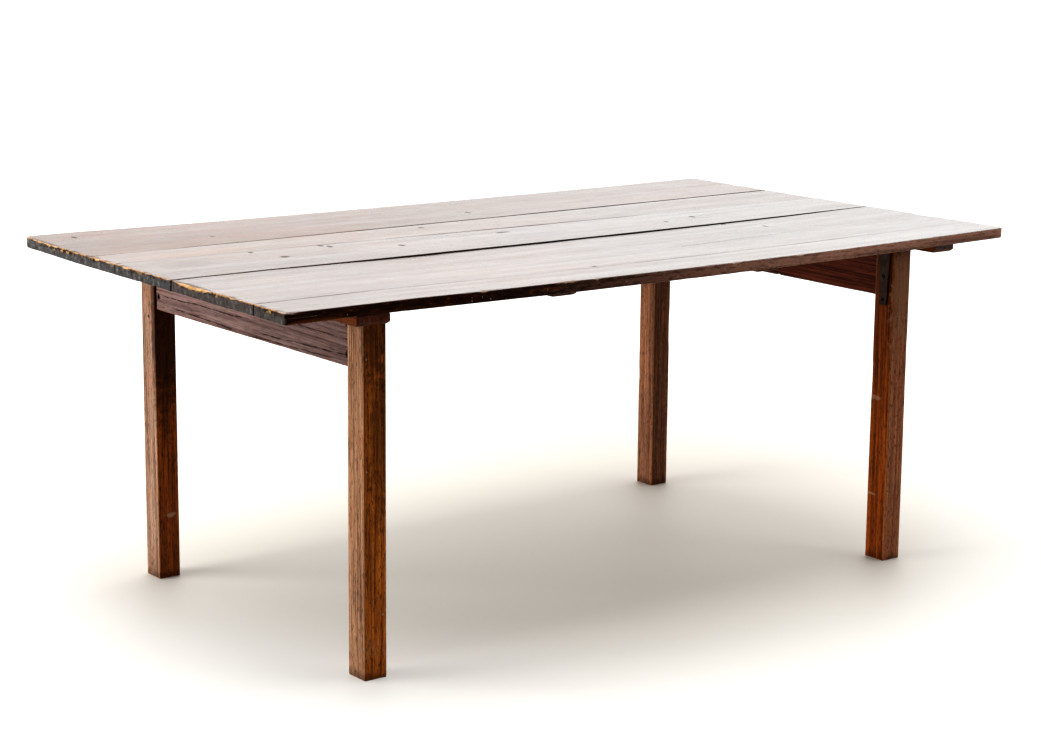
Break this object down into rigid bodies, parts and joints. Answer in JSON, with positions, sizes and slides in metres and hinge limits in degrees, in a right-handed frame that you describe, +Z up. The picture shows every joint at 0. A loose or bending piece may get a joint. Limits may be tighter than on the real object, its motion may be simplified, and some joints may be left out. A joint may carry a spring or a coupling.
{
  "type": "farmhouse table",
  "caption": "Long rectangular plank-top dining table on square wooden legs joined in pairs by end aprons, with cross battens and iron angle brackets under the top.",
  "frame": {"origin": "on the floor under the middle of the table top", "axes": "+X along the table, +Y across it towards the back long side, +Z up"},
  "size_m": [1.884, 1.07, 0.76],
  "materials": {
    "top_wood": "dark stained planks, waxed, worn edges",
    "batten_wood": "stained softwood, dull",
    "leg_wood": "stained softwood, waxed, worn",
    "apron_wood": "stained softwood, waxed, dull",
    "forged_iron": "dark forged iron, dull",
    "fastener_iron": "old dark iron, dull"
  },
  "bodies": {
    "root": {"plank_back": "top_wood", "plank_back_inner": "top_wood", "plank_middle": "top_wood", "plank_front_inner": "top_wood", "plank_front": "top_wood", "batten_left_end": "batten_wood", "batten_left_middle": "batten_wood", "batten_right_middle": "batten_wood", "batten_right_end": "batten_wood", "leg_front_left": "leg_wood", "bracket_front_left": "forged_iron", "screws_bracket_front_left": "fastener_iron", "leg_back_left": "leg_wood", "bracket_back_left": "forged_iron", "screws_bracket_back_left": "fastener_iron", "leg_front_right": "leg_wood", "bracket_front_right": "forged_iron", "screws_bracket_front_right": "fastener_iron", "leg_back_right": "leg_wood", "bracket_back_right": "forged_iron", "screws_bracket_back_right": "fastener_iron", "apron_left": "apron_wood", "nails_apron_left": "fastener_iron", "apron_right": "apron_wood", "nails_apron_right": "fastener_iron", "screws_batten_left_end": "fastener_iron", "screws_batten_left_middle": "fastener_iron", "screws_batten_right_middle": "fastener_iron", "screws_batten_right_end": "fastener_iron"}
  },
  "joints": []
}
